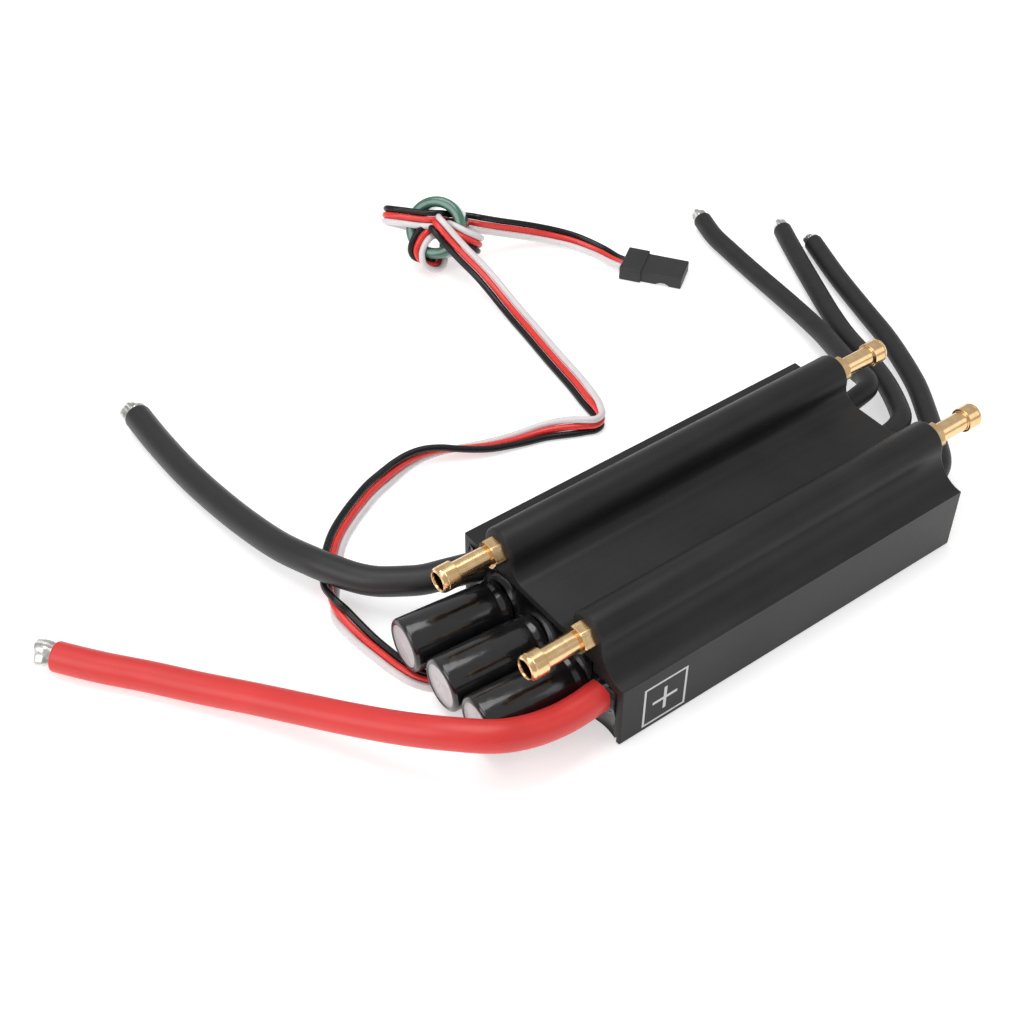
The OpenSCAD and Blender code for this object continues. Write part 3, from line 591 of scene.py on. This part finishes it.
def case_outline():
    """The extrusion's section as (y, z) points: an open channel with two tubes on its back."""
    out = [(-HALF, 0.5), (-HALF, LABEL)]
    out += arc(-HALF + 0.2, LABEL + 5.6, 5.6, -87, -4, 18)
    for y in (-TUBE_Y, TUBE_Y):
        out += arc(y, TUBE_Z, TUBE_R, 180, 0, 33)
        if y < 0:
            out += arc(y + TUBE_R + FLANK, DECK + FLANK, FLANK, 180, 270, 11)
            out += arc(-y - TUBE_R - FLANK, DECK + FLANK, FLANK, 270, 360, 11)
    out += arc(TUBE_Y + TUBE_R + FLANK, DECK + FLANK, FLANK, 180, 270, 11)
    out += arc(HALF - 0.25, DECK - 0.25, 0.25, 90, 0, 4) + arc(HALF - 0.4, 0.4, 0.4, 0, -90, 5)
    out += [(REBATE, 0), (REBATE, FOOT), (INNER, FOOT), (INNER, HIGH_ROOF),
            (ROOF_STEP, HIGH_ROOF), (ROOF_STEP, LOW_ROOF), (-INNER, LOW_ROOF),
            (-INNER, FOOT), (-REBATE, FOOT), (-REBATE, 0)]
    out += arc(-HALF + 0.4, 0.4, 0.4, -90, -180, 5)
    clean = [out[0]]
    for p in out[1:]:
        if math.dist(p, clean[-1]) > 0.02:
            clean.append(p)
    return clean


def inset(loop, depth):
    """The loop moved to its right, into the metal, by a depth at each point, with mitred corners."""
    p = np.array(loop, float)
    ahead = np.roll(p, -1, axis=0) - p
    ahead /= np.linalg.norm(ahead, axis=1)[:, None]
    right = np.stack([ahead[:, 1], -ahead[:, 0]], 1)
    before = np.roll(right, 1, axis=0)
    mitre = right + before
    return p + mitre * (np.array(depth) * 2 / (mitre ** 2).sum(axis=1))[:, None]


def extruded_case():
    """The section run from end to end, its two water passages open, its cut ends rounded over."""
    loops = [case_outline()]
    loops += [arc(y, TUBE_Z, PASSAGE_R, 0, 360 - 360 / PASSAGE_SIDES, PASSAGE_SIDES)
              for y in (-TUBE_Y, TUBE_Y)]
    # The tubes' ends are rounded over more than the plate's.
    edges = [0.2 + 0.45 * np.clip((np.array(loops[0])[:, 1] - 15.5) / 2.5, 0, 1)]
    edges += [np.full(PASSAGE_SIDES, 0.2), np.full(PASSAGE_SIDES, 0.2)]
    points, faces, caps = [], [], []
    turns = list(np.radians((0, 22, 45, 67, 90)))
    levels = [(LEFT, 1, turn) for turn in turns] + [(RIGHT, -1, turn) for turn in reversed(turns)]
    for end, way, turn in levels:
        for loop, edge in zip(loops, edges):
            flat = inset(loop, edge * (1 - math.sin(turn)))
            x = end + way * edge * (1 - math.cos(turn))
            points += [(x[k], *flat[k]) for k in range(len(loop))]
            if turn == 0 and way == 1:
                caps.append([Vector((*q, 0)) for q in flat])
    count = sum(len(loop) for loop in loops)
    start = 0
    for loop in loops:
        for level in range(len(levels) - 1):
            for k in range(len(loop)):
                a, b = start + k, start + (k + 1) % len(loop)
                faces.append((level * count + a, level * count + b,
                              (level + 1) * count + b, (level + 1) * count + a))
        start += len(loop)
    last = (len(levels) - 1) * count
    for a, b, c in tessellate_polygon(caps):
        faces.append((a, b, c))
        faces.append((last + a, last + c, last + b))
    piece("extruded_case", points, faces, MATERIALS["anodised_case"], 40, stands_for=("case",),
          slot="anodised_case")


def resin_face(name, node, x_face, x_back, lumps, seed):
    """Poured resin across an end of the case: sags between the walls and climbs whatever passes through it.
    A lump is (y, z, radius, how far the resin climbs)."""
    out = 1 if x_face > x_back else -1
    rng = np.random.default_rng(seed)
    waves = [(rng.uniform(0.15, 0.7), rng.uniform(0.2, 0.9), rng.uniform(0, 6.28), rng.uniform(0.05, 0.16))
             for _ in range(7)]
    cols, rows = 150, 54
    lowest, sag, most = 0.15, 0.55, 2.4
    front, back = [], []
    for j in range(rows + 1):
        for i in range(cols + 1):
            y = -INNER + 2 * INNER * i / cols
            roof = LOW_ROOF if y < ROOF_STEP - 0.001 else HIGH_ROOF
            z = lowest + (roof - lowest) * j / rows
            wall = min(y + INNER, INNER - y, z - lowest, roof - z)
            x = -sag + sag * math.exp(-wall / 0.9)
            x += sum(a * math.sin(p * y + q * z + f) for p, q, f, a in waves)
            for ly, lz, lr, climb in lumps:
                gap = math.hypot(y - ly, z - lz) - lr
                x += climb * math.exp(-max(gap, 0) / 0.75)
            front.append((x_face + out * min(x, most), y, z))
            back.append((x_back, y, z))
    n = cols + 1
    points = front + back
    shift = len(front)
    faces = []
    for j in range(rows):
        for i in range(cols):
            a = j * n + i
            faces.append((a, a + 1, a + n + 1, a + n))
            faces.append((shift + a, shift + a + n, shift + a + n + 1, shift + a + 1))
    edge = list(range(n)) + [j * n + cols for j in range(1, rows + 1)]
    edge += [rows * n + i for i in range(cols - 1, -1, -1)] + [j * n for j in range(rows - 1, 0, -1)]
    for a, b in zip(edge, edge[1:] + edge[:1]):
        faces.append((a, b, shift + b, shift + a))
    piece(name, points, faces, MATERIALS["potting"], 60, stands_for=(node,), slot="potting")


CAPACITORS = [("front", -9.5, -8.3), ("middle", 0.6, 1.9), ("rear", 10.7, 12.8)]
CAP_LENGTH, CAP_R, CAP_Z, CAP_X = 19.3, 5.0, 6.5, -36.6


def capacitors():
    """A drawn can with a scored vent in its end, in a shrink sleeve that laps over both rims."""
    skin = 0.22
    length = CAP_LENGTH
    body = [(skin, CAP_R - skin - 0.5)]
    body += [(skin + 0.5 - 0.5 * math.cos(a), CAP_R - skin - 0.5 + 0.5 * math.sin(a))
             for a in np.linspace(0.3, 1.57, 4)]
    body += [(1.6, CAP_R - skin), (1.95, CAP_R - skin - 0.35), (2.25, CAP_R - skin - 0.35),
             (2.6, CAP_R - skin)]
    end = length - 0.12
    body += [(end - 0.7 + 0.7 * math.sin(a), CAP_R - skin - 0.7 + 0.7 * math.cos(a))
             for a in np.linspace(0, 1.57, 7)]
    body += [(end - 0.06, 4.0), (end - 0.22, 3.85)]
    rings = section_rings(body, 120)
    # The end disc, dented along three scores that meet off centre.
    scores = [((-2.9, 0.5), (2.9, 0.5)), ((0.0, 0.5), (-1.9, -2.3)), ((0.0, 0.5), (1.9, -2.3))]
    angle = np.linspace(0, 2 * math.pi, 120, endpoint=False)
    for r in np.linspace(3.75, 0.08, 34):
        ring = []
        for a in angle:
            y, z = r * math.cos(a), r * math.sin(a)
            dent = 0.0
            for (y0, z0), (y1, z1) in scores:
                t = ((y - y0) * (y1 - y0) + (z - z0) * (z1 - z0)) / ((y1 - y0) ** 2 + (z1 - z0) ** 2)
                t = min(1, max(0, t))
                d = math.hypot(y - y0 - t * (y1 - y0), z - z0 - t * (z1 - z0))
                dent = max(dent, math.exp(-(d / 0.13) ** 2))
            ring.append((end - 0.24 + 0.05 * (1 - (r / 3.9) ** 2) - 0.14 * dent, y, z))
        rings.append(np.array(ring))
    can = loft(rings)
    inner = CAP_R - skin - 0.02
    sleeve = [(0.0, 3.9), (0.0, CAP_R - 0.45), (0.1, CAP_R - 0.15), (0.4, CAP_R), (1.5, CAP_R),
              (1.95, CAP_R - 0.16), (2.25, CAP_R - 0.16), (2.7, CAP_R)]
    sleeve += [(length - 0.75 + 0.75 * math.sin(a), CAP_R - 0.75 + 0.75 * math.cos(a))
               for a in np.linspace(0, 1.5, 9)]
    sleeve += [(length + 0.03, 4.12), (length - 0.02, 3.98), (length - 0.1, 3.93), (length - 0.14, 4.05)]
    sleeve += [(end - 0.7 + 0.7 * math.sin(a), inner - 0.7 + 0.7 * math.cos(a))
               for a in np.linspace(1.2, 0, 5)]
    sleeve += [(2.6, inner), (2.25, inner - 0.33), (1.95, inner - 0.33), (1.6, inner), (0.5, inner),
               (0.2, 4.5), (0.2, 3.9)]
    film = ring_turned(sleeve, 120)
    for i, (name, base, tip) in enumerate(CAPACITORS):
        fan = math.degrees(math.asin((tip - base) / CAP_LENGTH))
        place = along_x(CAP_X, base, CAP_Z, 180 - fan)
        roll = Matrix.Rotation(math.radians((80, 10, 150)[i]), 4, "X")
        piece("can_" + name, *can, MATERIALS["capacitor_can"], 40, ("capacitor_" + name,), "capacitor_can",
              place @ roll)
        piece("film_" + name, *film, MATERIALS["capacitor_sleeve"], 40, ("sleeve_" + name,),
              "capacitor_sleeve", place)


def nipples():
    """Turned brass hose tails: hexagon, undercut, stem, and a collar with a broken edge and a bored end."""
    hexagon, stem, collar, bore = 4.7, 1.85, 2.35, 1.4
    reach, thick = 12.6, 2.3
    shoulder = reach - 3.4
    outline = [(-5.0, bore), (-5.0, 1.9), (-4.8, 2.05), (-0.02, 2.05)]
    body = [(0.0, 2.72, hexagon), (thick - 0.2, 2.72, hexagon), (thick, 2.5, hexagon)]
    stem_part = [(thick, 1.74), (thick + 0.4, 1.74), (thick + 0.5, stem), (shoulder - 0.1, stem),
                 (shoulder, stem + 0.1), (shoulder, collar - 0.12), (shoulder + 0.12, collar),
                 (reach - 1.05, collar), (reach - 0.98, collar - 0.08), (reach - 0.84, collar - 0.08),
                 (reach - 0.77, collar - 0.02), (reach - 0.45, collar - 0.06), (reach - 0.16, collar - 0.24),
                 (reach, collar - 0.5), (reach - 0.03, bore + 0.32), (reach - 0.2, bore + 0.24),
                 (reach - 1.6, bore + 0.2), (reach - 2.0, bore)]
    turned = loft(section_rings(outline + body + stem_part, 96), closed=True)
    roll = Matrix.Rotation(math.radians(30), 4, "X")
    for end, x, turn in (("battery", LEFT, 180), ("motor", RIGHT, 0)):
        for side, y in (("front", -TUBE_Y), ("rear", TUBE_Y)):
            piece("hose_tail_%s_%s" % (end, side), *turned, MATERIALS["brass"], 24,
                  ("nipple_%s_%s" % (end, side),), "brass", along_x(x, y, TUBE_Z, turn) @ roll)


def ferrite():
    """The green ring, with its coated edges rounded and a slight swell in the coat."""
    outer, inner, half = 6.9, 4.5, 2.5
    top = arc(-half + 1.0, outer - 1.0, 1.0, 180, 90, 8) + arc(half - 1.0, outer - 1.0, 1.0, 90, 0, 8)
    bottom = arc(half - 0.8, inner + 0.8, 0.8, 0, -90, 7) + arc(-half + 0.8, inner + 0.8, 0.8, -90, -180, 7)
    points, faces = ring_turned(top + bottom, 120)
    place = Matrix.Translation(RING * MM) @ RING_TURN.to_4x4() @ Matrix.Rotation(math.radians(-90), 4, "Y")
    return piece("ferrite_core", points, faces, MATERIALS["ferrite_green"], 60, ("ferrite_ring",),
                 "ferrite_green", place)


def box_rings(sections):
    """Rounded-rectangle rings along X: (x, half width, low z, high z, corner radius)."""
    rings = []
    for x, half, low, high, r in sections:
        ring = []
        for cy, cz, a in ((half - r, high - r, 0), (-half + r, high - r, 90), (-half + r, low + r, 180),
                          (half - r, low + r, 270)):
            ring += [(x, *p) for p in arc(cy, cz, r, a, a + 90, 5)]
        rings.append(np.array(ring))
    return rings


def plug():
    """The moulded plug: a wider back part, a step, a flat front part with a dip in its lower edge."""
    place = along_x(*TO_PLUG[-1][:2], 0, PLUG_HEADING)
    e = 0.12
    sections = [(0, 4.4 - e, e + 0.02, 3.0 - e, 0.2), (e, 4.4, 0.02, 3.0, 0.25), (4.62, 4.4, 0.02, 3.0, 0.25),
                (4.8, 4.36, 0.03, 2.94, 0.25), (4.84, 3.9, 0.04, 2.66, 0.2), (5.05, 3.84, 0.04, 2.58, 0.2),
                (8.2, 3.84, 0.04, 2.58, 0.2), (8.7, 3.84, 0.34, 2.58, 0.2), (9.4, 3.84, 0.62, 2.58, 0.2),
                (10.4, 3.84, 0.62, 2.58, 0.2), (11.0, 3.84, 0.32, 2.58, 0.2), (11.4, 3.84, 0.04, 2.58, 0.2),
                (13.85, 3.84, 0.04, 2.58, 0.2), (14.0, 3.72, 0.16, 2.46, 0.15)]
    points, faces = loft(box_rings(sections))
    return piece("plug_housing", points, faces, MATERIALS["plug_plastic"], 30, ("servo_plug",),
                 "plug_plastic", place)


def remaining_nodes():
    """Every CAD node takes the material of its slot, whether or not a piece replaces it."""
    slots = {part["node"]: part["material_slot"] for part in frame["record"]["subparts"]}
    for node, obj in frame["nodes"].items():
        material = MATERIALS.get(slots.get(node, ""))
        if material is None:
            continue
        for slot in obj.material_slots:
            slot.material = material


# ---------------------------------------------------------------- floor and light

def floor():
    n = Nodes("floor")
    n.link(n.blend(n.noise(0.02), (0.74, 0.74, 0.74), (0.78, 0.78, 0.78)), n.shader.inputs["Base Color"])
    n.set(Roughness=0.7, Emission_Color=(1.0, 1.0, 1.0), Emission_Strength=0.5)
    size, z = 3000, -0.02
    corners = [(-size, -size, z), (size, -size, z), (size, size, z), (-size, size, z)]
    obj = piece("floor", corners, [(0, 1, 2, 3)], n.material, rides=False)


def area_light(name, place, target, size, power, colour=(1, 1, 1)):
    data = bpy.data.lights.new(name, "AREA")
    data.shape, data.size, data.size_y = "RECTANGLE", size[0] * MM, size[1] * MM
    data.energy, data.color = power, colour
    obj = bpy.data.objects.new(name, data)
    bpy.context.scene.collection.objects.link(obj)
    place, target = Vector(place) * MM, Vector(target) * MM
    obj.location = place
    obj.rotation_euler = (place - target).to_track_quat("Z", "Y").to_euler()


def lights():
    world = bpy.data.worlds.new("studio")
    world.use_nodes = True
    world.node_tree.nodes["Background"].inputs[0].default_value = (1, 1, 1, 1)
    world.node_tree.nodes["Background"].inputs[1].default_value = 0.55
    bpy.context.scene.world = world
    area_light("top", (-40, 120, 620), (0, 10, 0), (500, 380), 1.9)
    area_light("left", (-560, 60, 330), (0, 10, 0), (320, 420), 1.15)
    area_light("right", (420, -380, 320), (0, 0, 0), (300, 300), 0.25)
    bpy.context.scene.view_settings.view_transform = "Standard"


def main():
    camera()
    leads()
    ring = ferrite()
    housing = plug()
    servo_lead()
    extruded_case()
    battery_lumps = [(y, CAP_Z, CAP_R - 0.1, 1.1) for _, y, _ in CAPACITORS]
    battery_lumps += [(*RED[0][1:], 2.7, 1.3), (*BLACK[0][1:], 2.7, 1.3), (5.7, 0.9, 1.6, 0.4)]
    resin_face("battery_resin", "battery_end_potting", LEFT + 0.2, LEFT + 4.4, battery_lumps, 3)
    motor_lumps = [(MOTOR[k][0][1], 8, 2.0, 0.9) for k in "abc"]
    resin_face("motor_resin", "motor_end_potting", RIGHT - 0.6, RIGHT - 4.4, motor_lumps, 4)
    capacitors()
    nipples()
    remaining_nodes()
    floor()
    lights()


main()
